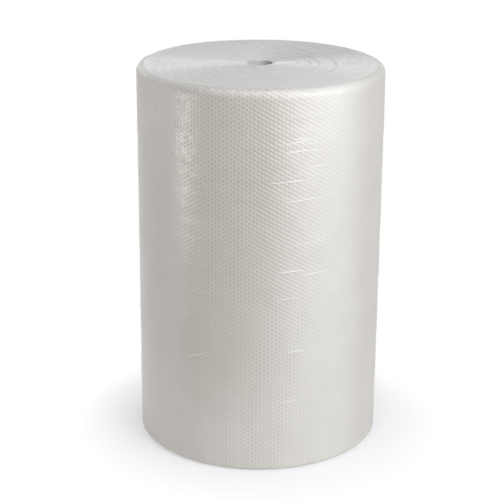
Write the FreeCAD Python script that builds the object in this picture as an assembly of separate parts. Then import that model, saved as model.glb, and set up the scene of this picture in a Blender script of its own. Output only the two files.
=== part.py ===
import FreeCAD, Part
import math
import os

# Roll of air bubble film, wound without a cardboard tube and standing on one end.
# Millimetres, +Z up. The origin is the centre of the lower end, on the floor.
# The side seen in the photograph faces -Y, and the film's tail end lies at +Y.
# Seen from above, the film winds outwards anticlockwise.

# The roll as a whole
roll_width = 1000.0
outer_diameter = 640.0
core_hole_diameter = 60.0
top_shoulder_radius = 22.0
base_edge_radius = 15.0

# The film that it is wound from
film_thickness = 3.2
bubble_diameter = 10.0
bubble_gap = 1.1
bubble_rise = 0.5
rib_foot_height = 0.3

# The upper end, where the edges of the turns show as a spiral of low steps. The lower
# end is flat, because the roll's weight presses its turns level.
turns_per_band = 7
band_depth = 3.0
rim_land_width = 4.0
hole_land_width = 8.0

# The film's inner end, which lies along the core hole and leaves a thin wedge of air
inner_end_span = 70.0
inner_end_direction = 215.0
tail_direction = 90.0

outer_radius = outer_diameter / 2.0
hole_radius = core_hole_diameter / 2.0
shoulder_radius = outer_radius - bubble_rise - rib_foot_height
band_pitch = turns_per_band * film_thickness
# Bubbles sit in a hexagonal pattern, so their columns stand closer than their pitch
column_spacing = (bubble_diameter + bubble_gap) * math.sqrt(3.0) / 2.0


def point_at(radius, degrees, height=0.0):
    angle = math.radians(degrees)
    return FreeCAD.Vector(radius * math.cos(angle), radius * math.sin(angle), height)


def line(start, end):
    return Part.LineSegment(start, end).toShape()


def arc(start, middle, end):
    return Part.Arc(start, middle, end).toShape()


def polyline(points):
    return [line(start, end) for start, end in zip(points, points[1:])]


def extruded(edges, length):
    return Part.Face(Part.Wire(edges)).extrude(FreeCAD.Vector(0, 0, length))


def spiral_turn(section, pitch):
    """One full turn of a section that moves out by one pitch as it goes round.

    It is drawn from four centres, as a spiral is on paper. section(shift) gives the
    closed outline in the XZ plane, moved out by that shift. Each quarter turn has a
    centre of its own, in line with the one before it where the two quarters meet.
    """
    origin = FreeCAD.Vector(0, 0, 0)
    up = FreeCAD.Vector(0, 0, 1)
    quarter_shift = pitch / 4.0
    quarters = []
    for quarter in range(4):
        face = Part.Face(Part.Wire(section((quarter + 0.5) * quarter_shift)))
        solid = face.revolve(origin, up, 90.0)
        solid.rotate(origin, up, 90.0 * quarter)
        solid.translate(point_at(quarter_shift / math.sqrt(2.0), 135.0 + 90.0 * quarter))
        quarters.append(solid)
    turn = quarters[0].multiFuse(quarters[1:])
    turn.rotate(origin, up, tail_direction)
    return turn


def last_turn():
    """The wall: the last turn of film, with a rib for each column of bubbles."""
    columns = round(math.pi * (outer_diameter - film_thickness) / column_spacing)

    def crest(column):
        return outer_radius - film_thickness * (1.0 - column / columns)

    def direction(column):
        return tail_direction + 360.0 * column / columns

    def valley_point(column):
        return point_at(crest(column) - bubble_rise, direction(column))

    def crest_point(column):
        return point_at(crest(column), direction(column))

    outline = [line(valley_point(columns), valley_point(0))]
    for column in range(columns):
        outline.append(arc(valley_point(column), crest_point(column + 0.5), valley_point(column + 1)))
    wall = extruded(outline, roll_width - base_edge_radius - top_shoulder_radius)
    wall.translate(FreeCAD.Vector(0, 0, base_edge_radius))
    return wall


def rounded_end(edge_radius):
    """An end of the roll, its flat face down at height 0 and its edge rounded."""

    def section(shift):
        wall = shoulder_radius - film_thickness + shift
        centre = FreeCAD.Vector(wall - edge_radius, 0, edge_radius)
        rim = centre + FreeCAD.Vector(0, 0, -edge_radius)
        side = centre + FreeCAD.Vector(edge_radius, 0, 0)
        half_way = edge_radius / math.sqrt(2.0)
        middle = centre + FreeCAD.Vector(half_way, 0, -half_way)
        inner_top = FreeCAD.Vector(hole_radius / 2.0, 0, edge_radius)
        inner_foot = FreeCAD.Vector(hole_radius / 2.0, 0, 0)
        return [arc(rim, middle, side)] + polyline([side, inner_top, inner_foot, rim])

    return spiral_turn(section, film_thickness)


def above_the_bands():
    """What is missing above the bands, each of which slopes up to its rim at height 0."""
    inner = hole_radius + hole_land_width
    outer = shoulder_radius - film_thickness - top_shoulder_radius - rim_land_width
    bands = math.floor((outer - inner) / band_pitch) - 1

    def section(shift):
        points = [FreeCAD.Vector(inner + shift, 0, band_depth)]
        for band in range(bands):
            band_start = inner + shift + band * band_pitch
            points.append(FreeCAD.Vector(band_start, 0, -band_depth))
            points.append(FreeCAD.Vector(band_start + band_pitch, 0, 0))
        points.append(FreeCAD.Vector(inner + shift + bands * band_pitch, 0, band_depth))
        points.append(points[0])
        return polyline(points)

    return spiral_turn(section, band_pitch)


def core_hole():
    """The round hole, and the wedge of air before the step of the film's inner end."""
    middle_direction = inner_end_direction - inner_end_span / 2.0
    wedge_start = point_at(hole_radius, inner_end_direction - inner_end_span)
    wedge_middle = point_at(hole_radius + film_thickness / 2.0, middle_direction)
    wedge_end = point_at(hole_radius + film_thickness, inner_end_direction)
    outline = [arc(wedge_start, wedge_middle, wedge_end)]
    outline += polyline([wedge_end, FreeCAD.Vector(0, 0, 0), wedge_start])
    return Part.makeCylinder(hole_radius, roll_width).fuse(extruded(outline, roll_width))


def upside_down(shape):
    return shape.mirror(FreeCAD.Vector(0, 0, 0), FreeCAD.Vector(0, 0, 1))


def at_the_top(shape):
    shape.translate(FreeCAD.Vector(0, 0, roll_width))
    return shape


def bubble_film_roll():
    foot = rounded_end(base_edge_radius)
    shoulder = at_the_top(upside_down(rounded_end(top_shoulder_radius)))
    roll = last_turn().multiFuse([foot, shoulder])
    return roll.cut([core_hole(), at_the_top(above_the_bands())])


os.makedirs("parts", exist_ok=True)
roll = bubble_film_roll()
roll.exportStep("parts/bubble_film_roll.step")
print("solids", len(roll.Solids), "valid", roll.isValid(), "volume m3", roll.Volume / 1e9)
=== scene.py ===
import math

import bpy
import numpy as np
from mathutils import Matrix

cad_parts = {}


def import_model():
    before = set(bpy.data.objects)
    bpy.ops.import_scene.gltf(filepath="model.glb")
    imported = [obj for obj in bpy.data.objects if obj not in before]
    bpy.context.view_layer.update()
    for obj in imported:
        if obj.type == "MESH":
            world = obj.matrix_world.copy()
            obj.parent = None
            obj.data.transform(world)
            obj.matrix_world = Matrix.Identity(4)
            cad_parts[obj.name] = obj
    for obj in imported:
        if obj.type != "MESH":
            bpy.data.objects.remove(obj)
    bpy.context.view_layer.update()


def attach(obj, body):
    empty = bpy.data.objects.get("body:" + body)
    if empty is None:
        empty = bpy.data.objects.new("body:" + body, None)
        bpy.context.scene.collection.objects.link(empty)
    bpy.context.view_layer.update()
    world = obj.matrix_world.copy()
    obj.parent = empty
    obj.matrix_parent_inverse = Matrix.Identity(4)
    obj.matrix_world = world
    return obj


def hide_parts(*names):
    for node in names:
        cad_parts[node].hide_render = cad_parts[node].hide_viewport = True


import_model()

# Roll of air bubble film, wound without a tube and standing on one end.
# Metres, +Z up, in the frame of the CAD model. The side in the photograph faces -Y.

# The roll
ROLL_WIDTH = 1.0
OUTER_RADIUS = 0.320
HOLE_RADIUS = 0.030
SHOULDER_RADIUS = 0.022
FOOT_RADIUS = 0.015
TAIL_DIRECTION = math.radians(90.0)
INNER_END_DIRECTION = math.radians(215.0)
INNER_END_SPAN = math.radians(70.0)

# The film and its bubbles, which sit in a hexagonal pattern
FILM_THICKNESS = 0.0032
BUBBLE_RADIUS = 0.0050
BUBBLE_PITCH = 0.0111
BUBBLE_RISE = 0.0005
DOME_RING = 0.62
DOME_FULLNESS = 2.4
WALL_COLUMNS = 208
CORE_COLUMNS = 20
WALL_PIECES = 3
POINTS_PER_BUBBLE = 13
TRIANGLES_PER_BUBBLE = 30

# A phase for a sine wave is drawn from 0 to about a full turn
ANY_PHASE = 6.28

# Lengths along the last turn's film, from under the foot to the top of the shoulder
FOOT_ARC = FOOT_RADIUS * math.pi / 2.0
SHOULDER_ARC = SHOULDER_RADIUS * math.pi / 2.0
STRAIGHT = ROLL_WIDTH - FOOT_RADIUS - SHOULDER_RADIUS
FILM_LENGTH = FOOT_ARC + STRAIGHT + SHOULDER_ARC
FILM_ROWS = round(FILM_LENGTH / BUBBLE_PITCH)

# Slack bands that run round the wall: height, and its share of the bands' rise
BANDS = [
    (0.930, 0.8), (0.893, 0.7), (0.859, 1.2), (0.820, 0.7), (0.780, 1.1),
    (0.752, 0.6), (0.729, 1.1), (0.690, 0.6), (0.650, 0.7), (0.610, 0.9),
    (0.575, 0.6), (0.544, 1.1), (0.510, 0.6), (0.476, 1.1), (0.436, 0.9),
    (0.404, 1.0), (0.362, 0.6), (0.326, 0.8), (0.285, 0.6), (0.240, 0.6),
    (0.194, 1.0), (0.150, 0.5), (0.105, 0.5),
]
BAND_RISE = 0.00030
BAND_HALF_WIDTH = 0.0055
BAND_WANDER = 0.004
BAND_WAVER = 0.0015
BAND_FADING = 0.38
BANDS_FULL_DIRECTION = math.radians(282.0)

# A slack upright band of the film, in degrees round the roll, where bubbles hardly show
SLACK_DIRECTION = 206.0
SLACK_HALF_SPAN = 18.0
SLACK_TOP = (0.74, 0.90)
SLACK_FLATNESS = 0.80

# Where the film is pressed flat. Parts of the wall are in degrees round the roll: where
# a part begins, is full, begins to end and has ended. Heights are where it begins and is full.
PRESSED_PART = (274.0, 292.0, 318.0, 336.0)
PRESSED_HEIGHTS = (0.40, 0.65)
PRESSED_FLATNESS = 0.45

# Painted light and shade round the wall, as shares of a darker tone
# A painted shaded band left of the front, weaker towards the foot
PAINTED_SHADE_BAND_PART = (222.0, 240.0, 254.0, 290.0)
PAINTED_SHADE_BAND_HEIGHTS = (0.08, 0.35)
PAINTED_SHADE_BAND_STRENGTH = 0.73
PAINTED_SHADE_BAND_LOW_SHARE = 0.25
# Plain painted shade everywhere but where the key light falls, fading out towards the foot as painted light
# from the floor
KEY_LIGHT_PAINTED_PART = (270.0, 294.0, 306.0, 328.0)
PLAIN_SHADE_HEIGHTS = (0.05, 0.40)
PLAIN_PAINTED_SHADE = 0.27
# Painted shade towards the right edge
RIGHT_EDGE_PAINTED_SHADE_PART = (308.0, 332.0, 350.0, 358.0)
RIGHT_EDGE_PAINTED_SHADE = 0.62

# How dark the bubbles show, partly as painted shade on their domes, in degrees away from where they are
# clearest
CLEAREST_DIRECTION = 256.0
CLEAR_SPAN = (14.0, 50.0)
CLEAR_HEIGHTS = (0.15, 0.90)
MARKS_IN_SLACK = 0.10
MARKS_LOW_DOWN = 0.34
MARKS_LOST_BESIDE = 0.82
BEHIND_SPAN = (96.0, 126.0)
MARKS_BACK_BEHIND = 0.6
FALLING_ROWS_SPAN = (-6.0, 22.0)
RISING_ROWS_SPAN = (22.0, 36.0)
ROWS_HEIGHTS = (0.25, 0.60)

# How the wall film departs from an even sheet
FILL_SPREAD = 0.10
SLACK_BUBBLES = 0.01
CRUSHED_FLATNESS = 0.55
FOOT_FLATNESS = 0.5
BROAD_RIPPLE = 0.00022
FINE_RIPPLE = 0.00010
COARSE_CRUMPLE = 0.00026
FINE_CRUMPLE = 0.00018
FOOT_RIDGE = 0.0008
FOOT_RIDGE_LEVEL = 0.009
FOOT_RIDGE_HALF_WIDTH = 0.004
SHOULDER_FOLD = 0.00015
SHOULDER_FOLDS = 61.0
RIM_TUCK = 0.004
RIM_TUCK_LENGTH = 0.006

# The film's cut end: share of the turn and height of each line along it
TAIL_SECTION = [(0.0, -0.0026), (0.0, -0.0011), (1.0, -0.0024), (1.0, -0.0013)]
TAIL_BULGE = 0.0006
TAIL_WAVE = 0.0004

# Creases of the wall film: direction and height of the two ends
CREASES = [
    (281.3, 0.866, 292.7, 0.876), (284.0, 0.877, 291.0, 0.879),
    (280.0, 0.846, 296.2, 0.849), (291.0, 0.804, 299.8, 0.809),
    (273.5, 0.770, 295.1, 0.776), (277.6, 0.720, 299.2, 0.727),
    (279.0, 0.606, 304.4, 0.617), (277.0, 0.540, 289.8, 0.543),
    (290.0, 0.530, 302.7, 0.534), (276.3, 0.468, 298.8, 0.477),
    (283.2, 0.326, 290.9, 0.329), (278.0, 0.190, 295.4, 0.197),
    (234.3, 0.293, 246.9, 0.319),
]
HIDDEN_CREASES = 34
HIDDEN_SIDE = (345.0, 545.0)
HIDDEN_CREASE_SIZE = 0.8
CREASE_SECTION = [(-1.0, -0.0008), (-0.45, 0.10), (0.0, 1.0), (0.45, 0.10), (1.0, -0.0008)]
CREASE_HALF_WIDTH = 0.0016
CREASE_RIDGE = 0.00065
CREASE_WANDER = 0.0004


def ripple(points, wavelength, seed, waves=16):
    """Smooth noise of about unit size, as a sum of sine waves in random directions."""
    rng = np.random.default_rng(seed)
    total = np.zeros(len(points))
    for _ in range(waves):
        way = rng.normal(size=3)
        way *= 2.0 * math.pi * rng.uniform(0.7, 1.4) / (wavelength * np.linalg.norm(way))
        total += np.sin(points @ way + rng.uniform(0.0, 2.0 * math.pi))
    return total * math.sqrt(2.0 / waves)


def ramp(value, start, end):
    """0 up to the start, 1 from the end on, and a smooth rise between them."""
    share = np.clip((value - start) / (end - start), 0.0, 1.0)
    return share * share * (3.0 - 2.0 * share)


def on_last_turn(share, along, height):
    """Points of the last turn: share of the turn, length along the film, height from its crest."""
    angle = TAIL_DIRECTION + 2.0 * math.pi * share
    wall = OUTER_RADIUS - FILM_THICKNESS * (1.0 - share)
    foot = np.clip(along / FOOT_ARC, 0.0, 1.0) * math.pi / 2.0
    shoulder = np.clip((along - FOOT_ARC - STRAIGHT) / SHOULDER_ARC, 0.0, 1.0) * math.pi / 2.0
    straight = np.clip(along - FOOT_ARC, 0.0, STRAIGHT)
    in_foot = along < FOOT_ARC
    in_shoulder = along > FOOT_ARC + STRAIGHT
    out = np.where(in_foot, np.sin(foot), np.where(in_shoulder, np.cos(shoulder), 1.0))
    up = np.where(in_foot, -np.cos(foot), np.where(in_shoulder, np.sin(shoulder), 0.0))
    edge = np.where(in_foot, FOOT_RADIUS, np.where(in_shoulder, SHOULDER_RADIUS, 0.0))
    level = np.where(in_foot, FOOT_RADIUS, FOOT_RADIUS + straight)
    radius = wall - edge + (edge + height) * out
    z = level + (edge + height) * up
    return np.stack([radius * np.cos(angle), radius * np.sin(angle), z], 1)


def hexagon_film(columns, rows):
    """A sheet of bubbles, with every other column half a row further on.

    Gives the points (across, along) in metres, each one's dome share from 0 at the foot
    to 1 at the crown, its bubble's number or -1 between bubbles, the triangles, and each
    triangle's place along the film in half rows.
    """
    column_width = BUBBLE_PITCH * math.sqrt(3.0) / 2.0
    angle = np.radians(30.0 + 60.0 * np.arange(6))
    ring = np.stack([np.cos(angle), np.sin(angle)], 1) * BUBBLE_RADIUS
    column, row = np.meshgrid(np.arange(columns), np.arange(rows), indexing="ij")
    column, row = column.ravel(), row.ravel()
    whole = (column % 2 == 0) | (row < rows - 1)
    column, row = column[whole], row[whole]
    centre_step = 2 * row + 1 + column % 2
    centre = np.stack([(column + 0.5) * column_width, centre_step * BUBBLE_PITCH / 2.0], 1)
    bubbles = len(centre)

    # Each bubble's points: the crown, a ring on the dome and its foot
    local = np.concatenate([np.zeros((1, 2)), ring * DOME_RING, ring])
    points = (centre[:, None, :] + local[None]).reshape(-1, 2)
    dome = np.tile(
        np.concatenate([[1.0], np.full(6, 1.0 - DOME_RING**DOME_FULLNESS), np.zeros(6)]), bubbles
    )
    bubble = np.repeat(np.arange(bubbles), POINTS_PER_BUBBLE)

    # The corners between bubbles, in whole sixths of a column and half rows, so that
    # neighbours share them. A corner's key holds both counts.
    key_step = 100000
    corner_across = np.array([4, 2, -2, -4, -2, 2])
    corner_along = np.array([0, 1, 1, 0, -1, -1])
    keys_across = 6 * column[:, None] + 3 + corner_across[None]
    keys_along = centre_step[:, None] + corner_along[None]
    odd = np.arange(1, columns, 2)
    half = []
    for level, inward in ((0, 1), (2 * rows, -1)):
        half.append(np.stack([6 * odd + 3 - 4, 6 * odd + 3 + 4, 6 * odd + 3 + 2, 6 * odd + 3 - 2], 1))
        half.append(np.tile([level, level, level + inward, level + inward], (len(odd), 1)))
    all_across = np.concatenate([keys_across.ravel(), half[0].ravel(), half[2].ravel()])
    all_along = np.concatenate([keys_along.ravel(), half[1].ravel(), half[3].ravel()])
    all_across = np.where(all_across < 2, 0, all_across)
    all_across = np.where(all_across > 6 * columns - 2, 6 * columns, all_across)
    keys, index = np.unique(all_along * key_step + all_across, return_inverse=True)
    corner_x = (keys % key_step) * column_width / 6.0
    corner_y = (keys // key_step) * BUBBLE_PITCH / 2.0
    corners = np.stack([corner_x, corner_y], 1)
    index = index + len(points)
    cell_corner = index[: 6 * bubbles].reshape(-1, 6)

    base = POINTS_PER_BUBBLE * np.arange(bubbles)[:, None]
    faces = []
    for k in range(6):
        after = (k + 1) % 6
        crown, inner, inner_next = base, base + 1 + k, base + 1 + after
        foot, foot_next = base + 7 + k, base + 7 + after
        corner, corner_next = cell_corner[:, [k]], cell_corner[:, [after]]
        faces.append(np.hstack([crown, inner, inner_next]))
        faces.append(np.hstack([inner, foot, foot_next]))
        faces.append(np.hstack([inner, foot_next, inner_next]))
        faces.append(np.hstack([foot, corner, corner_next]))
        faces.append(np.hstack([foot, corner_next, foot_next]))
    cell_faces = np.stack(faces, 1).reshape(-1, 3)
    cell_row = np.repeat(centre_step, TRIANGLES_PER_BUBBLE)
    ends = index[6 * bubbles:].reshape(-1, 4)
    ends[len(odd):] = ends[len(odd):, ::-1]
    end_faces = np.concatenate([ends[:, [0, 1, 2]], ends[:, [0, 2, 3]]])
    end_row = np.tile(np.repeat([0, 2 * rows], len(odd)), 2)
    points = np.concatenate([points, corners])
    dome = np.concatenate([dome, np.zeros(len(corners))])
    bubble = np.concatenate([bubble, np.full(len(corners), -1)])
    return points, dome, bubble, np.concatenate([cell_faces, end_faces]), np.concatenate([cell_row, end_row])


def vertex_normals(points, faces):
    """Each point's normal, as the mean of its triangles' normals by their areas."""
    corner = points[faces]
    face_normal = np.cross(corner[:, 1] - corner[:, 0], corner[:, 2] - corner[:, 0])
    normal = np.zeros_like(points)
    for k in range(3):
        for axis in range(3):
            normal[:, axis] += np.bincount(faces[:, k], face_normal[:, axis], len(points))
    return normal / np.maximum(np.linalg.norm(normal, axis=1, keepdims=True), 1e-12)


def make_piece(name, points, faces, material, normals=None, shares=None, flat_map=None):
    """A mesh object with the points that its faces use, riding on the roll's body."""
    used, index = np.unique(faces, return_inverse=True)
    faces = index.reshape(-1, 3)
    mesh = bpy.data.meshes.new(name)
    mesh.vertices.add(len(used))
    mesh.vertices.foreach_set("co", points[used].astype(np.float32).ravel())
    mesh.loops.add(faces.size)
    mesh.loops.foreach_set("vertex_index", faces.astype(np.int32).ravel())
    mesh.polygons.add(len(faces))
    mesh.polygons.foreach_set("loop_start", np.arange(0, faces.size, 3, dtype=np.int32))
    mesh.update(calc_edges=True)
    mesh.shade_smooth()
    for label, values in (shares or {}).items():
        attribute = mesh.attributes.new(label, "FLOAT", "POINT")
        attribute.data.foreach_set("value", values[used].astype(np.float32))
    if flat_map is not None:
        layer = mesh.uv_layers.new(name="OFBake")
        layer.uv.foreach_set("vector", flat_map[used][faces.ravel()].astype(np.float32).ravel())
    if normals is not None:
        mesh.normals_split_custom_set_from_vertices(normals[used].astype(np.float32))
    mesh.validate()
    piece = bpy.data.objects.new(name, mesh)
    bpy.context.scene.collection.objects.link(piece)
    mesh.materials.append(material)
    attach(piece, "root")
    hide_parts("bubble_film_roll")
    return piece


def band_height(direction, z):
    """How far the slack bands lift the wall film. Each comes and goes round the roll."""
    total = np.zeros(len(z))
    for number, (level, strength) in enumerate(BANDS):
        rng = np.random.default_rng(100 + number)
        wobble = BAND_WANDER * np.sin(direction * rng.integers(1, 4) + rng.uniform(0, ANY_PHASE))
        wobble += BAND_WAVER * np.sin(direction * rng.integers(5, 11) + rng.uniform(0, ANY_PHASE))
        fade = np.sin(direction * rng.integers(1, 6) + rng.uniform(0, ANY_PHASE))
        fade = 1.0 - BAND_FADING + BAND_FADING * fade
        facing = 0.5 + 0.5 * np.cos(direction - BANDS_FULL_DIRECTION)
        fade = fade * (1.0 - facing**3) + facing**3
        total += strength * fade * np.exp(-(((z - level - wobble) / BAND_HALF_WIDTH) ** 2))
    return BAND_RISE * total


def apart(direction, middle):
    """Degrees round the roll between the directions and a middle one, from -180 to 180."""
    return (np.degrees(direction) - middle + 180.0) % 360.0 - 180.0


def part_share(direction, part):
    """1 inside a part of the wall and 0 outside it, with soft borders."""
    degrees = np.degrees(direction) % 360.0
    return ramp(degrees, part[0], part[1]) * (1.0 - ramp(degrees, part[2], part[3]))


def bubble_marks_and_painted_shade(dome, direction, z, falling, rising):
    """How dark the bubbles show: as round marks where clearest, beside that as slanting rows of painted
    shade on the domes' flanks.

    falling and rising count the rows of bubbles that fall and rise to the right.
    """
    from_slack = np.abs(apart(direction, SLACK_DIRECTION))
    from_clearest = apart(direction, CLEAREST_DIRECTION)
    behind = ramp(np.abs(from_clearest), *BEHIND_SPAN)
    beside = ramp(np.abs(from_clearest), *CLEAR_SPAN) * (1.0 - MARKS_BACK_BEHIND * behind)
    outside_slack = ramp(from_slack, SLACK_HALF_SPAN - 6.0, SLACK_HALF_SPAN + 14.0)
    clear = MARKS_IN_SLACK + (1.0 - MARKS_IN_SLACK) * outside_slack
    clear *= 1.0 - MARKS_LOST_BESIDE * beside
    clear *= MARKS_LOW_DOWN + (1.0 - MARKS_LOW_DOWN) * ramp(z, *CLEAR_HEIGHTS)
    # The slanting rows are painted shade: the flanks of the domes turned from the lights
    in_rows = ramp(from_clearest, *FALLING_ROWS_SPAN) + ramp(-from_clearest, *RISING_ROWS_SPAN)
    in_rows *= ramp(z, *ROWS_HEIGHTS) * (1.0 - behind)
    count = np.where(from_clearest > 0.0, falling, rising)
    rows = 0.5 + 0.5 * np.cos(2.0 * math.pi * count)
    return clear * (dome**2 * (1.0 - in_rows) + rows * in_rows)


def painted_light_and_shade(direction, z):
    """Painted light and shade on the last turn: most in a shaded band left of the front, least where the key
    light falls, and less near the foot.
    """
    depth = PLAIN_PAINTED_SHADE * (1.0 - part_share(direction, KEY_LIGHT_PAINTED_PART)) * ramp(z, *PLAIN_SHADE_HEIGHTS)
    depth += RIGHT_EDGE_PAINTED_SHADE * part_share(direction, RIGHT_EDGE_PAINTED_SHADE_PART)
    up_the_wall = PAINTED_SHADE_BAND_LOW_SHARE + (1.0 - PAINTED_SHADE_BAND_LOW_SHARE) * ramp(z, *PAINTED_SHADE_BAND_HEIGHTS)
    return depth + PAINTED_SHADE_BAND_STRENGTH * part_share(direction, PAINTED_SHADE_BAND_PART) * up_the_wall


def plumpness(direction, z):
    """How far the bubbles stand out: least in the slack upright band, less where pressed."""
    from_slack = np.abs(apart(direction, SLACK_DIRECTION))
    slack = 1.0 - ramp(from_slack, SLACK_HALF_SPAN + 2.0, SLACK_HALF_SPAN + 22.0)
    slack *= 1.0 - ramp(z, *SLACK_TOP)
    pressed = part_share(direction, PRESSED_PART) * ramp(z, *PRESSED_HEIGHTS)
    return (1.0 - SLACK_FLATNESS * slack) * (1.0 - PRESSED_FLATNESS * pressed)


def wall_film(material):
    """The last turn, with every bubble as a dome, from under the foot over the shoulder."""
    flat, dome, bubble, faces, face_row = hexagon_film(WALL_COLUMNS, FILM_ROWS)
    rng = np.random.default_rng(11)
    full_width = WALL_COLUMNS * BUBBLE_PITCH * math.sqrt(3.0) / 2.0
    share = flat[:, 0] / full_width
    along = flat[:, 1] * FILM_LENGTH / (FILM_ROWS * BUBBLE_PITCH)
    count = bubble.max() + 1
    fill = rng.normal(1.0, FILL_SPREAD, count).clip(0.6, 1.15)
    slack = rng.random(count) < SLACK_BUBBLES
    fill[slack] *= rng.uniform(0.6, 0.8, slack.sum())
    of_bubble = np.maximum(bubble, 0)
    is_bubble = bubble >= 0

    plain = on_last_turn(share, along, np.zeros(len(share)))
    over_shoulder = ramp(along, FILM_LENGTH - SHOULDER_ARC - 0.010, FILM_LENGTH - 0.6 * SHOULDER_ARC)
    at_foot = 1.0 - ramp(along, 0.2 * FOOT_ARC, FOOT_ARC + 0.004)
    crush = rng.uniform(0.2, 1.0, count)[of_bubble] * over_shoulder
    height = dome * np.where(is_bubble, fill[of_bubble], 0.0)
    height *= (1.0 - CRUSHED_FLATNESS * crush) * (1.0 - FOOT_FLATNESS * at_foot)
    tilt = rng.normal(0.0, 1.0, (count, 2))[of_bubble]
    corner = np.arange(len(dome)) - POINTS_PER_BUBBLE * of_bubble
    around = corner * math.pi / 3.0
    lean = tilt[:, 0] * np.cos(around) + tilt[:, 1] * np.sin(around)
    on_ring = is_bubble & (corner >= 1) & (corner <= 6)
    height += on_ring * lean * (0.03 + 0.22 * over_shoulder)
    direction = TAIL_DIRECTION + 2.0 * math.pi * share
    plump = plumpness(direction, plain[:, 2])
    height = BUBBLE_RISE * (height * plump - 1.0)

    height += band_height(direction, plain[:, 2]) * plump * (1.0 - at_foot) * (1.0 - over_shoulder)
    height += BROAD_RIPPLE * ripple(plain, 0.11, 21) + FINE_RIPPLE * ripple(plain, 0.045, 22) * plump
    from_ridge = (plain[:, 2] - FOOT_RIDGE_LEVEL) / FOOT_RIDGE_HALF_WIDTH
    height += FOOT_RIDGE * np.exp(-(from_ridge**2))
    crumple = COARSE_CRUMPLE * ripple(plain, 0.016, 23) + FINE_CRUMPLE * ripple(plain, 0.008, 24)
    height += crumple * (0.6 * over_shoulder + 0.25 * at_foot)
    folds = np.sin(direction * SHOULDER_FOLDS + 2.0 * ripple(plain, 0.08, 25))
    height += SHOULDER_FOLD * over_shoulder * folds
    points = on_last_turn(share, along, height)
    points[:, 2] -= RIM_TUCK * ramp(along, FILM_LENGTH - RIM_TUCK_LENGTH, FILM_LENGTH)
    points[:, 2] = np.maximum(points[:, 2], 0.0)
    normals = vertex_normals(points, faces)

    # Both counts are whole numbers at the bubbles' centres
    along_rows = flat[:, 1] / BUBBLE_PITCH
    across_rows = flat[:, 0] / (BUBBLE_PITCH * math.sqrt(3.0))
    falling = along_rows + across_rows - 0.75
    rising = along_rows - across_rows - 0.25
    shares = {
        # crush: crushed film on the shoulder, and painted light from the floor on the foot
        "crush": np.maximum(over_shoulder, 0.8 * at_foot),
        # marks: the bubbles, with painted shade on their flanks
        "marks_and_painted_shade": bubble_marks_and_painted_shade(dome, direction, plain[:, 2], falling, rising),
        # depth: painted light and shade round the wall
        "depth": painted_light_and_shade(direction, plain[:, 2]),
    }
    step = 2 * FILM_ROWS / WALL_PIECES
    for number in range(WALL_PIECES):
        low = -1 if number == 0 else number * step
        high = 2 * FILM_ROWS + 1 if number == WALL_PIECES - 1 else (number + 1) * step
        here = faces[(face_row >= low) & (face_row < high)]
        v = (along / FILM_LENGTH * WALL_PIECES - number).clip(-0.02, 1.02) * 0.96 + 0.02
        flat_map = np.stack([share * 0.98 + 0.01, v], 1)
        make_piece(f"film_wall_{number + 1}", points, here, material, normals, shares, flat_map)
    tail_edge(material)


def tail_edge(material):
    """The film's cut end, which closes the step at the tail."""
    steps = 2 * FILM_ROWS + 1
    along = np.linspace(0.0, FILM_LENGTH, steps)
    rows = []
    for share, height in TAIL_SECTION:
        rows.append(on_last_turn(np.full(steps, share), along, np.full(steps, height)))
    wave = TAIL_WAVE * np.sin(along * 2.0 * math.pi / BUBBLE_PITCH)
    for number, row in enumerate(rows):
        row[:, 0] += wave - (TAIL_BULGE if number in (1, 2) else 0.0)
        row[:, 2] = np.maximum(row[:, 2], 0.0)
    points = np.concatenate(rows)
    faces = []
    for number in range(3):
        first = number * steps + np.arange(steps - 1)
        second = first + steps
        faces.append(np.stack([first, first + 1, second + 1], 1))
        faces.append(np.stack([first, second + 1, second], 1))
    across = np.repeat([0.1, 0.4, 0.6, 0.9], steps)
    flat_map = np.stack([across, np.tile(along / FILM_LENGTH, 4)], 1)
    # The cut end takes some crush whitening and some of the painted shade tone
    shares = {"crush": np.full(len(points), 0.4), "depth": np.full(len(points), 0.4)}
    make_piece("film_tail_edge", points, np.concatenate(faces), material, None, shares, flat_map)


def creases(material):
    """Pinched folds of the wall film, each a low ridge that tapers at both ends."""
    rng = np.random.default_rng(31)
    lines = [crease + (1.0,) for crease in CREASES]
    for _ in range(HIDDEN_CREASES):
        start = rng.uniform(*HIDDEN_SIDE)
        level = rng.uniform(0.08, 0.95)
        span = rng.uniform(4.0, 18.0)
        rise = rng.uniform(-0.004, 0.006)
        lines.append((start, level, start + span, level + rise, HIDDEN_CREASE_SIZE))
    points, faces = [], []
    for start, z_start, end, z_end, size in lines:
        steps = max(8, int(abs(end - start) * 3.0))
        t = np.linspace(0.0, 1.0, steps)
        taper = np.sin(math.pi * t) ** 0.6
        angle = np.radians(start + (end - start) * t)
        share = ((angle - TAIL_DIRECTION) / (2.0 * math.pi)) % 1.0
        wander = CREASE_WANDER * np.sin(t * rng.uniform(4.0, 9.0) + rng.uniform(0, ANY_PHASE))
        z = z_start + (z_end - z_start) * t + wander
        half_width = CREASE_HALF_WIDTH * size * taper + 0.0001
        ridge = CREASE_RIDGE * size * taper * (0.75 + 0.25 * np.sin(t * rng.uniform(20.0, 40.0)))
        first = sum(len(p) for p in points)
        for across, lift in CREASE_SECTION:
            height = np.full(steps, lift) if lift < 0 else lift * ridge
            along = FOOT_ARC + z + across * half_width - FOOT_RADIUS
            points.append(on_last_turn(share, along, height))
        for strip in range(len(CREASE_SECTION) - 1):
            low = first + strip * steps + np.arange(steps - 1)
            high = low + steps
            faces.append(np.stack([low, low + 1, high + 1], 1))
            faces.append(np.stack([low, high + 1, high], 1))
    points = np.concatenate(points)
    make_piece("film_creases", points, np.concatenate(faces), material)


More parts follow.
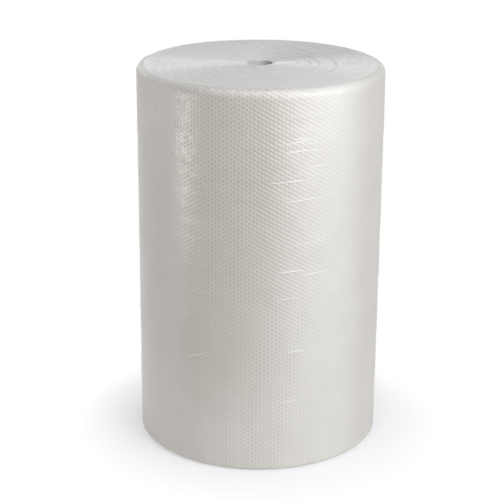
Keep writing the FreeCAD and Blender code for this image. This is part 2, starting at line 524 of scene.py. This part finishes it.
# The ends, where the edges of the turns show
TURNS = 89.653
TURN_PITCH = (OUTER_RADIUS - HOLE_RADIUS - FILM_THICKNESS) / TURNS
BAND_PITCH = 0.0224
BANDS_START = 0.038
BAND_COUNT = 10
BAND_DEPTH = 0.0008
BAND_FALL_SHARE = 0.25

# Turns that stand apart, with deeper gaps and painted shade in them: radius and strength, most at one
# direction
DARK_TURNS = [(0.092, 0.45), (0.126, 0.75), (0.150, 1.0), (0.194, 1.0), (0.262, 0.25)]
DARK_DIRECTION = math.radians(22.0)
DARK_TURN_HALF_WIDTH = 0.8 * TURN_PITCH
DARK_TURN_DEPTH = 1.6
DARK_TURN_SHADE = 1.6
CREST_SHADE = 0.22
STREAK_SHADE = 0.25
CRUMPLED_ROUGHNESS = 0.8

# The lines of the film's edge across one turn: place across it, depth, bite of the bubbles,
# roughness. Lines deeper than GAP_DEPTH lie in the gap to the next turn.
UPPER_SECTION = [
    (0.0, 0.0014, 0.0, 0.00004), (0.24, 0.0, 0.0, 0.00024),
    (0.70, 0.0003, 0.22, 0.00024), (1.14, 0.00137, 0.0, 0.00004),
]
LOWER_SECTION = [(0.0, 0.0012, 0.0, 0.00004), (0.35, 0.0, 0.0, 0.00008), (1.12, 0.00118, 0.0, 0.00004)]
GAP_DEPTH = 0.0008
UPPER_EDGES_RADIUS = 0.3005
LOWER_EDGES_RADIUS = 0.3065
UPPER_STEP = 0.0031
LOWER_STEP = 0.0062
UPPER_ROOM = 0.0012
LOWER_ROOM = 0.0002


def turn_radius(turn):
    """Inner radius of the film after so many turns. The first turn climbs over its own end."""
    climb = 1.0 - INNER_END_SPAN / (2.0 * math.pi)
    first = HOLE_RADIUS + TURN_PITCH * ramp(turn, climb, 1.0)
    return np.where(turn < 1.0, first, HOLE_RADIUS + TURN_PITCH * turn)


def end_level(radius, direction):
    """Depth of the upper end below its rim: low bands that slope up outwards, then fall."""
    shift = ((direction - TAIL_DIRECTION) / (2.0 * math.pi)) % 1.0
    place = (radius - BANDS_START) / BAND_PITCH - shift
    inside = (place >= 0.0) & (place < BAND_COUNT)
    up = 1.0 - np.minimum(place % 1.0 / (1.0 - BAND_FALL_SHARE), 1.0)
    fall = ramp(place % 1.0, 1.0 - BAND_FALL_SHARE, 1.0)
    return np.where(inside, BAND_DEPTH * (up + fall), 0.0)


def spiral_edges(name, material, top, outer, step, sections, seed):
    """The edges of all the turns as one spiral strip, each turn a crest between two gaps."""
    last = (outer - HOLE_RADIUS) / TURN_PITCH
    turn = [0.0]
    while turn[-1] < last:
        turn.append(turn[-1] + step / (2.0 * math.pi * (HOLE_RADIUS + TURN_PITCH * turn[-1])))
    turn = np.array(turn)
    rng = np.random.default_rng(seed)
    direction = INNER_END_DIRECTION + 2.0 * math.pi * turn
    inner = turn_radius(turn)
    length = math.pi * ((HOLE_RADIUS + TURN_PITCH * turn) ** 2 - HOLE_RADIUS**2) / TURN_PITCH
    whole = np.floor(turn).astype(int)
    lift = rng.normal(0.0, 1.0, whole.max() + 2)
    lift = lift[whole] * (1.0 - turn % 1.0) + lift[whole + 1] * (turn % 1.0)
    round_the_turn = inner * ((direction - TAIL_DIRECTION) % (2.0 * math.pi))
    streaks = ripple(np.stack([5.0 * inner, round_the_turn, 0.0 * inner], 1), 0.05, seed + 3)
    crumpled = 1.0 + CRUMPLED_ROUGHNESS * (0.5 - 0.5 * np.cos(direction - DARK_DIRECTION)) ** 4
    scallop = np.abs(np.sin(length * math.pi / (BUBBLE_PITCH * math.sqrt(3.0) / 2.0)))
    rows, opens = [], []
    for across, depth, bite, noise in sections:
        radius = inner + TURN_PITCH * (across - bite * scallop)
        place = np.stack([radius * np.cos(direction), radius * np.sin(direction), 0.0 * radius], 1)
        fall = end_level(radius, direction) if top else 0.0 * radius
        gap = np.zeros(len(radius))
        if top:
            right = 0.5 + 0.5 * np.cos(direction - DARK_DIRECTION)
            for dark_radius, strength in DARK_TURNS:
                near = np.exp(-(((radius - dark_radius) / DARK_TURN_HALF_WIDTH) ** 2))
                gap += strength * near * right**2
        fall = fall + depth * (1.0 + DARK_TURN_DEPTH * gap)
        wave = 0.45 * ripple(place, 0.055, seed + 1) + 0.35 * ripple(place, 0.018, seed + 2)
        rough = noise * crumpled * (0.55 * lift + wave + 0.35 * rng.normal(0.0, 1.0, len(radius)))
        height = -fall + rough
        if top:
            z = ROLL_WIDTH - UPPER_ROOM + np.minimum(height, UPPER_ROOM)
        else:
            z = LOWER_ROOM - np.minimum(height, LOWER_ROOM)
        rows.append(np.stack([place[:, 0], place[:, 1], z], 1))
        # Lines in the gaps take the painted shade tone, the crests a little of it
        shade = 1.0 if depth > GAP_DEPTH else CREST_SHADE
        opens.append(shade + DARK_TURN_SHADE * gap + STREAK_SHADE * streaks)
    steps = len(turn)
    points = np.concatenate(rows)
    faces = []
    for number in range(len(sections) - 1):
        near = number * steps + np.arange(steps - 1)
        far = near + steps
        faces.append(np.stack([near, far, far + 1], 1))
        faces.append(np.stack([near, far + 1, near + 1], 1))
    faces = np.concatenate(faces)
    if not top:
        faces = faces[:, ::-1]
    flat_map = points[:, :2] / (2.1 * OUTER_RADIUS) + 0.5
    shares = {"gap": np.concatenate(opens)}
    make_piece(name, points, faces, material, None, shares, flat_map)


def ends(material):
    upper = (UPPER_EDGES_RADIUS, UPPER_STEP, UPPER_SECTION, 41)
    lower = (LOWER_EDGES_RADIUS, LOWER_STEP, LOWER_SECTION, 51)
    spiral_edges("upper_turn_edges", material, True, *upper)
    spiral_edges("lower_turn_edges", material, False, *lower)


CORE_BUBBLE_RISE = 0.00030
CORE_RIPPLE = 0.00025
CORE_FOOT = 0.0003
CORE_TOP_GAP = 0.0012


def core_wall(material):
    """The wall of the core hole: the flat side of the first turn, with its bubbles behind."""
    flat, dome, _, faces, _ = hexagon_film(CORE_COLUMNS, round(ROLL_WIDTH / BUBBLE_PITCH))
    share = flat[:, 0] / flat[:, 0].max()
    direction = INNER_END_DIRECTION + 2.0 * math.pi * share
    z = flat[:, 1] / flat[:, 1].max()
    place = np.stack([np.cos(direction) * HOLE_RADIUS, np.sin(direction) * HOLE_RADIUS, z], 1)
    radius = turn_radius(share) + CORE_BUBBLE_RISE * dome + CORE_RIPPLE * ripple(place, 0.05, 61)
    z = CORE_FOOT + z * (ROLL_WIDTH - CORE_TOP_GAP - CORE_FOOT)
    points = np.stack([radius * np.cos(direction), radius * np.sin(direction), z], 1)
    faces = faces[:, ::-1]

    # The film's inner end closes the step between the first turn and the second
    steps = 41
    level = np.linspace(CORE_FOOT, ROLL_WIDTH - CORE_TOP_GAP, steps)
    start = len(points)
    for edge in (HOLE_RADIUS, HOLE_RADIUS + TURN_PITCH):
        x = np.full(steps, edge * math.cos(INNER_END_DIRECTION))
        y = np.full(steps, edge * math.sin(INNER_END_DIRECTION))
        points = np.concatenate([points, np.stack([x, y, level], 1)])
    near = start + np.arange(steps - 1)
    far = near + steps
    lower_faces = np.stack([near, near + 1, far + 1], 1)
    upper_faces = np.stack([near, far + 1, far], 1)
    faces = np.concatenate([faces, lower_faces, upper_faces])
    across = np.concatenate([share * 0.9, np.full(steps, 0.95), np.full(steps, 0.99)])
    up = np.concatenate([flat[:, 1] / flat[:, 1].max(), level, level])
    dome = np.concatenate([dome, np.zeros(2 * steps)])
    shares = {"dome": dome}
    normals = vertex_normals(points, faces)
    make_piece("core_wall", points, faces, material, normals, shares, np.stack([across, up], 1))


# Materials

def new_material(name):
    material = bpy.data.materials.new(name)
    material.use_nodes = True
    nodes = material.node_tree.nodes
    nodes.clear()
    return material, nodes, material.node_tree.links


def noise_node(nodes, links, place, scale, detail, roughness=0.5):
    node = nodes.new("ShaderNodeTexNoise")
    node.inputs["Scale"].default_value = scale
    node.inputs["Detail"].default_value = detail
    node.inputs["Roughness"].default_value = roughness
    links.new(place, node.inputs["Vector"])
    return node.outputs["Fac"]


def range_node(nodes, links, value, low, high, to_low, to_high):
    node = nodes.new("ShaderNodeMapRange")
    node.inputs["From Min"].default_value = low
    node.inputs["From Max"].default_value = high
    node.inputs["To Min"].default_value = to_low
    node.inputs["To Max"].default_value = to_high
    links.new(value, node.inputs["Value"])
    return node.outputs["Result"]


def mix_node(nodes, links, share, first, second):
    node = nodes.new("ShaderNodeMix")
    node.data_type = "RGBA"
    for value, socket in ((share, node.inputs[0]), (first, node.inputs[6]), (second, node.inputs[7])):
        if isinstance(value, bpy.types.NodeSocket):
            links.new(value, socket)
        else:
            socket.default_value = value
    return node.outputs[2]


def math_node(nodes, links, operation, first, second):
    node = nodes.new("ShaderNodeMath")
    node.operation = operation
    for value, socket in ((first, node.inputs[0]), (second, node.inputs[1])):
        if isinstance(value, bpy.types.NodeSocket):
            links.new(value, socket)
        else:
            socket.default_value = value
    return node.outputs[0]


def attribute_node(nodes, name):
    node = nodes.new("ShaderNodeAttribute")
    node.attribute_name = name
    return node.outputs["Fac"]


FILM_TONE = (0.905, 0.900, 0.880, 1.0)
FILM_MOTTLE_AND_SHADE_TONE = (0.715, 0.695, 0.652, 1.0)
FILM_MARK_AND_SHADE_TONE = (0.480, 0.447, 0.390, 1.0)
FILM_CRUSHED_TONE = (0.895, 0.895, 0.905, 1.0)
PAINTED_GAP_SHADE_TONE = (0.620, 0.615, 0.600, 1.0)
FILM_CRUSH_AND_FOOT_LIGHT = 0.35
FILM_ROUGHNESS = 0.36
FILM_CRUSH_ROUGHNESS = 0.20
FILM_IOR = 1.9
FILM_COAT = 0.12
FILM_COAT_ROUGHNESS = 0.18


def film_surface(nodes, links, place, colour, roughness, bump_scale, bump_strength, bump_distance):
    """The gloss, coat and fine bump that the film's wall and edges share."""
    shader = nodes.new("ShaderNodeBsdfPrincipled")
    links.new(colour, shader.inputs["Base Color"])
    links.new(roughness, shader.inputs["Roughness"])
    shader.inputs["IOR"].default_value = FILM_IOR
    shader.inputs["Specular IOR Level"].default_value = 1.0
    shader.inputs["Coat Weight"].default_value = FILM_COAT
    shader.inputs["Coat Roughness"].default_value = FILM_COAT_ROUGHNESS
    bump = nodes.new("ShaderNodeBump")
    bump.inputs["Strength"].default_value = bump_strength
    bump.inputs["Distance"].default_value = bump_distance
    links.new(noise_node(nodes, links, place, bump_scale, 4.0, 0.6), bump.inputs["Height"])
    links.new(bump.outputs["Normal"], shader.inputs["Normal"])
    out = nodes.new("ShaderNodeOutputMaterial")
    links.new(shader.outputs["BSDF"], out.inputs["Surface"])


def film_material():
    """Milky clear film: bubbles let more of the roll's depth show, with painted shade on their flanks;
    painted light and shade round the wall; crushed film is whiter, and the foot lighter with painted light.
    """
    material, nodes, links = new_material("bubble_film")
    place = nodes.new("ShaderNodeTexCoord").outputs["Object"]
    mottle = range_node(nodes, links, noise_node(nodes, links, place, 11.0, 3.0), 0.30, 0.70, -0.13, 0.13)
    # Random mottle plus the painted light and shade that depth holds
    mottle_and_painted_shade = math_node(nodes, links, "ADD", mottle, attribute_node(nodes, "depth"))
    colour = mix_node(nodes, links, mottle_and_painted_shade, FILM_TONE, FILM_MOTTLE_AND_SHADE_TONE)
    # Bubble marks, partly painted shade on the domes' flanks
    colour = mix_node(nodes, links, attribute_node(nodes, "marks_and_painted_shade"), colour, FILM_MARK_AND_SHADE_TONE)
    # Crushed film is whiter on the shoulder; on the foot this whitening is painted light from the floor
    grain = range_node(nodes, links, noise_node(nodes, links, place, 190.0, 3.0), 0.42, 0.62, 0.0, 1.0)
    crush = math_node(nodes, links, "MULTIPLY", attribute_node(nodes, "crush"), grain)
    crush = math_node(nodes, links, "MULTIPLY", crush, FILM_CRUSH_AND_FOOT_LIGHT)
    colour = mix_node(nodes, links, crush, colour, FILM_CRUSHED_TONE)
    gloss = noise_node(nodes, links, place, 60.0, 2.0)
    gloss = range_node(nodes, links, gloss, 0.3, 0.7, FILM_ROUGHNESS - 0.06, FILM_ROUGHNESS + 0.08)
    rougher = math_node(nodes, links, "MULTIPLY", attribute_node(nodes, "crush"), FILM_CRUSH_ROUGHNESS)
    roughness = math_node(nodes, links, "ADD", gloss, rougher)
    film_surface(nodes, links, place, colour, roughness, 260.0, 0.20, 0.0006)
    return material


CREASE_PAINTED_HIGHLIGHT_TONE = (0.935, 0.933, 0.925, 1.0)


def crease_film_material():
    """Pinched film, whiter along its fold with a painted highlight."""
    material, nodes, links = new_material("creased_film")
    place = nodes.new("ShaderNodeTexCoord").outputs["Object"]
    grain = range_node(nodes, links, noise_node(nodes, links, place, 150.0, 2.0), 0.40, 0.60, 0.0, 0.7)
    shader = nodes.new("ShaderNodeBsdfPrincipled")
    links.new(mix_node(nodes, links, grain, CREASE_PAINTED_HIGHLIGHT_TONE, FILM_TONE), shader.inputs["Base Color"])
    shader.inputs["Roughness"].default_value = 0.28
    shader.inputs["IOR"].default_value = FILM_IOR
    shader.inputs["Specular IOR Level"].default_value = 1.0
    out = nodes.new("ShaderNodeOutputMaterial")
    links.new(shader.outputs["BSDF"], out.inputs["Surface"])
    return material


def edges_material():
    """The cut edges of the turns: whiter on the crests, darker in the gaps with painted shade."""
    material, nodes, links = new_material("film_edges")
    place = nodes.new("ShaderNodeTexCoord").outputs["Object"]
    mottle = noise_node(nodes, links, place, 26.0, 4.0)
    mottle = range_node(nodes, links, mottle, 0.35, 0.65, 0.0, 0.8)
    colour = mix_node(nodes, links, mottle, FILM_CRUSHED_TONE, FILM_TONE)
    # Painted shade in the gaps between turns, most along the dark turns
    gap = math_node(nodes, links, "MULTIPLY", attribute_node(nodes, "gap"), 0.50)
    colour = mix_node(nodes, links, gap, colour, PAINTED_GAP_SHADE_TONE)
    gloss = noise_node(nodes, links, place, 80.0, 2.0)
    roughness = range_node(nodes, links, gloss, 0.3, 0.7, 0.27, 0.46)
    film_surface(nodes, links, place, colour, roughness, 240.0, 0.25, 0.0005)
    return material


CORE_TONE = (0.945, 0.935, 0.945, 1.0)
CORE_DEEP_TONE = (0.880, 0.868, 0.880, 1.0)


def core_film_material():
    """The first turn, seen from its flat side: pale, because light comes through the film round it."""
    material, nodes, links = new_material("core_film")
    place = nodes.new("ShaderNodeTexCoord").outputs["Object"]
    mottle = range_node(nodes, links, noise_node(nodes, links, place, 30.0, 3.0), 0.35, 0.65, 0.0, 0.6)
    dots = math_node(nodes, links, "MULTIPLY", attribute_node(nodes, "dome"), 0.5)
    share = math_node(nodes, links, "MAXIMUM", mottle, dots)
    shader = nodes.new("ShaderNodeBsdfPrincipled")
    links.new(mix_node(nodes, links, share, CORE_TONE, CORE_DEEP_TONE), shader.inputs["Base Color"])
    shader.inputs["Roughness"].default_value = 0.32
    shader.inputs["IOR"].default_value = 1.5
    out = nodes.new("ShaderNodeOutputMaterial")
    links.new(shader.outputs["BSDF"], out.inputs["Surface"])
    return material


def background_share(nodes, links):
    """1 for rays that should see the white background: camera, gloss and clear materials."""
    path = nodes.new("ShaderNodeLightPath")
    share = math_node(nodes, links, "MAXIMUM", path.outputs["Is Camera Ray"], path.outputs["Is Glossy Ray"])
    return math_node(nodes, links, "MAXIMUM", share, path.outputs["Is Transmission Ray"])


FLOOR_TONE = (0.91, 0.87, 0.81, 1.0)
FLOOR_SEEN_TONE = (0.63, 0.66, 0.69, 1.0)
FLOOR_LIFT = 0.51
FLOOR_SHADE = 0.08
FLOOR_SHADE_REACH = 0.25
FLOOR_NEAR = 0.30
FLOOR_FAR = 0.49
FLOOR_HALF_WIDTH = 14.0
FLOOR_LEVEL = -0.0004


def floor_material():
    """Pale floor that shows white where it is fully lit and keeps the roll's shadow, deepened near the roll
    with a painted shadow.

    Away from the roll it is plain white.
    """
    material, nodes, links = new_material("pale_floor")
    seen = background_share(nodes, links)
    diffuse = nodes.new("ShaderNodeBsdfDiffuse")
    links.new(mix_node(nodes, links, seen, FLOOR_TONE, FLOOR_SEEN_TONE), diffuse.inputs["Color"])
    glow = nodes.new("ShaderNodeEmission")
    glow.inputs["Color"].default_value = (1.0, 1.0, 1.0, 1.0)
    # The white glow is dimmed near the roll by ambient occlusion: a painted shadow round the base
    near = nodes.new("ShaderNodeAmbientOcclusion")
    near.inputs["Distance"].default_value = FLOOR_SHADE_REACH
    shade = range_node(nodes, links, near.outputs["AO"], 0.5, 1.0, FLOOR_LIFT - FLOOR_SHADE, FLOOR_LIFT)
    links.new(math_node(nodes, links, "MULTIPLY", seen, shade), glow.inputs["Strength"])
    both = nodes.new("ShaderNodeAddShader")
    links.new(diffuse.outputs[0], both.inputs[0])
    links.new(glow.outputs[0], both.inputs[1])
    white = nodes.new("ShaderNodeEmission")
    distance = nodes.new("ShaderNodeVectorMath")
    distance.operation = "LENGTH"
    links.new(nodes.new("ShaderNodeTexCoord").outputs["Object"], distance.inputs[0])
    away = range_node(nodes, links, distance.outputs["Value"], FLOOR_NEAR, FLOOR_FAR, 0.0, 1.0)
    mix = nodes.new("ShaderNodeMixShader")
    links.new(math_node(nodes, links, "MULTIPLY", away, seen), mix.inputs[0])
    links.new(both.outputs[0], mix.inputs[1])
    links.new(white.outputs[0], mix.inputs[2])
    out = nodes.new("ShaderNodeOutputMaterial")
    links.new(mix.outputs[0], out.inputs["Surface"])
    return material


def floor():
    mesh = bpy.data.meshes.new("floor")
    half = FLOOR_HALF_WIDTH
    corners = [(x, y, FLOOR_LEVEL) for x, y in ((-half, -half), (half, -half), (half, half), (-half, half))]
    mesh.from_pydata(corners, [], [(0, 1, 2, 3)])
    mesh.materials.append(floor_material())
    plane = bpy.data.objects.new("floor", mesh)
    bpy.context.scene.collection.objects.link(plane)


# Light

AMBIENT = (1.20, 1.0, 0.80, 1.0)
AMBIENT_STRENGTH = 0.03


def world():
    scene = bpy.context.scene
    scene.world = bpy.data.worlds.new("studio")
    scene.world.use_nodes = True
    nodes = scene.world.node_tree.nodes
    links = scene.world.node_tree.links
    nodes.clear()
    ambient = nodes.new("ShaderNodeBackground")
    ambient.inputs["Color"].default_value = AMBIENT
    ambient.inputs["Strength"].default_value = AMBIENT_STRENGTH
    white = nodes.new("ShaderNodeBackground")
    white.inputs["Color"].default_value = (1.0, 1.0, 1.0, 1.0)
    white.inputs["Strength"].default_value = 1.0
    mix = nodes.new("ShaderNodeMixShader")
    links.new(background_share(nodes, links), mix.inputs[0])
    links.new(ambient.outputs[0], mix.inputs[1])
    links.new(white.outputs[0], mix.inputs[2])
    out = nodes.new("ShaderNodeOutputWorld")
    links.new(mix.outputs[0], out.inputs["Surface"])


def soft_light(name, azimuth, elevation, distance, size, watts, tone, aim):
    """A softbox: azimuth is counted rightwards from the camera's side of the roll."""
    light = bpy.data.lights.new(name, "AREA")
    light.shape = "RECTANGLE"
    light.size, light.size_y = size
    light.energy = watts
    light.color = tone
    lamp = bpy.data.objects.new(name, light)
    bpy.context.scene.collection.objects.link(lamp)
    a, e = math.radians(azimuth), math.radians(elevation)
    away = np.array([math.sin(a) * math.cos(e), -math.cos(a) * math.cos(e), math.sin(e)])
    side = np.cross([0.0, 0.0, 1.0], away)
    side /= np.linalg.norm(side)
    up = np.cross(away, side)
    place = np.array([0.0, 0.0, aim]) + away * distance
    matrix = Matrix.Identity(4)
    for row in range(3):
        matrix[row][0], matrix[row][1], matrix[row][2] = side[row], up[row], away[row]
        matrix[row][3] = place[row]
    lamp.matrix_world = matrix


# Name, azimuth, elevation, distance, width and height, watts, colour, height it is aimed at
SOFT_LIGHTS = [
    ("key", 51.0, 14.0, 2.7, (2.6, 1.8), 16.2, (0.96, 0.99, 1.03), 0.5),
    ("key_inner", 29.0, 14.0, 2.7, (1.8, 1.8), 6.6, (1.04, 1.0, 0.95), 0.5),
    ("key_high", 42.0, 38.0, 2.7, (1.6, 1.2), 16.6, (1.01, 1.0, 0.98), 0.5),
    ("strip", -68.0, 0.0, 2.3, (0.24, 0.6), 3.2, (1.03, 1.0, 0.96), 0.42),
    ("left", -105.0, 10.0, 2.7, (1.6, 1.6), 4.0, (1.06, 1.0, 0.92), 0.5),
    ("overhead", 5.0, 68.0, 2.6, (1.6, 1.4), 15.2, (0.99, 0.99, 1.0), 0.5),
    ("backdrop_glow", 180.0, 12.0, 3.0, (2.6, 0.9), 5.6, (0.96, 1.0, 1.05), 1.0),
    ("backdrop_left", -140.0, 14.0, 3.0, (1.4, 0.9), 8.7, (1.02, 1.0, 0.98), 1.0),
]


def lights():
    for lamp in SOFT_LIGHTS:
        soft_light(*lamp)


# Camera

CAMERA_PLACE = (-0.0239, -3.8593, 1.8183)
CAMERA_PITCH = math.radians(18.964)
CAMERA_ROLL = math.radians(-0.432)
CAMERA_LENS = 110.33
CAMERA_SENSOR_WIDTH = 36.0
CAMERA_CLIP = (0.05, 60.0)


def camera():
    data = bpy.data.cameras.new("camera")
    data.sensor_width = CAMERA_SENSOR_WIDTH
    data.lens = CAMERA_LENS
    data.clip_start, data.clip_end = CAMERA_CLIP
    eye = bpy.data.objects.new("camera", data)
    bpy.context.scene.collection.objects.link(eye)
    forward = np.array([0.0, math.cos(CAMERA_PITCH), -math.sin(CAMERA_PITCH)])
    right = np.array([1.0, 0.0, 0.0])
    up = np.cross(right, forward)
    across = right * math.cos(CAMERA_ROLL) - up * math.sin(CAMERA_ROLL)
    upward = right * math.sin(CAMERA_ROLL) + up * math.cos(CAMERA_ROLL)
    matrix = Matrix.Identity(4)
    for row in range(3):
        matrix[row][0], matrix[row][1], matrix[row][2] = across[row], upward[row], -forward[row]
        matrix[row][3] = CAMERA_PLACE[row]
    eye.matrix_world = matrix
    bpy.context.scene.camera = eye


wall_film(film_material())
creases(crease_film_material())
ends(edges_material())
core_wall(core_film_material())
floor()
world()
lights()
camera()
bpy.context.scene.view_settings.view_transform = "Standard"
